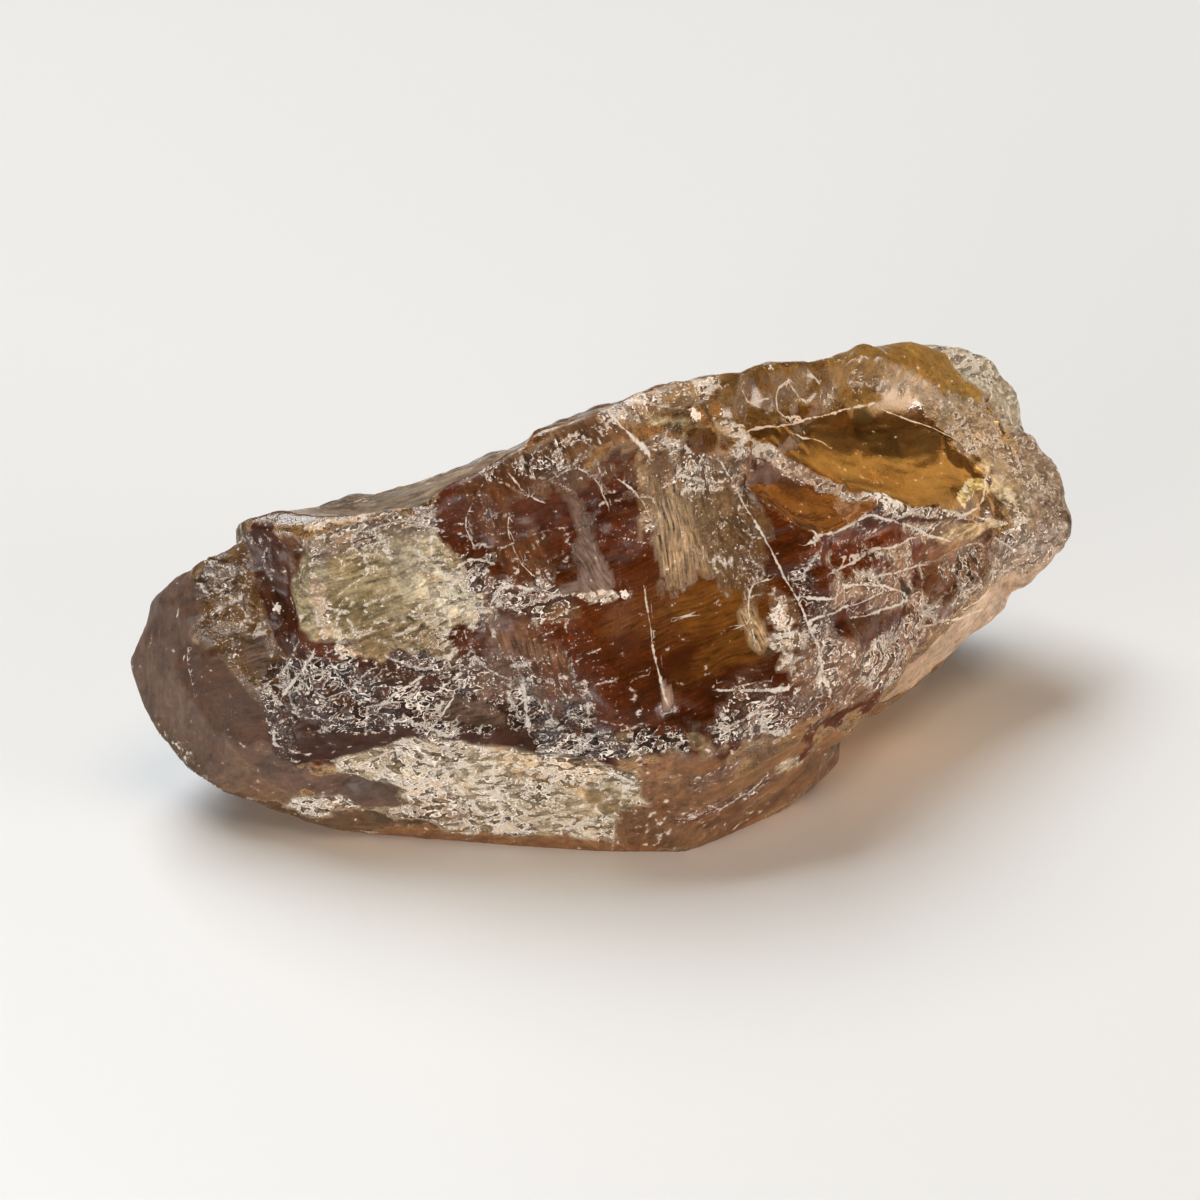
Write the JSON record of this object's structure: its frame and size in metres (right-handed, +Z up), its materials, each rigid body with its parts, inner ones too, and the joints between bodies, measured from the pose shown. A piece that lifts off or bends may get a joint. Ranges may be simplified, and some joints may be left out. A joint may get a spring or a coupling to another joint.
{
  "type": "raw apatite crystal fragment",
  "caption": "Rough, chipped, translucent brown and amber mineral fragment, long and low, resting on a small flat under its middle.",
  "frame": {"origin": "centre of the stone's box in plan, on the plane that it rests on", "axes": "+X along the stone's length, from the round dome to the amber window; +Y towards its back; +Z up"},
  "size_m": [0.0334, 0.0154, 0.0146],
  "materials": {
    "apatite": "translucent amber to dark brown crystal, glassy in the windows, frosted white on the broken edges"
  },
  "bodies": {
    "root": {"apatite": "apatite"}
  },
  "joints": []
}
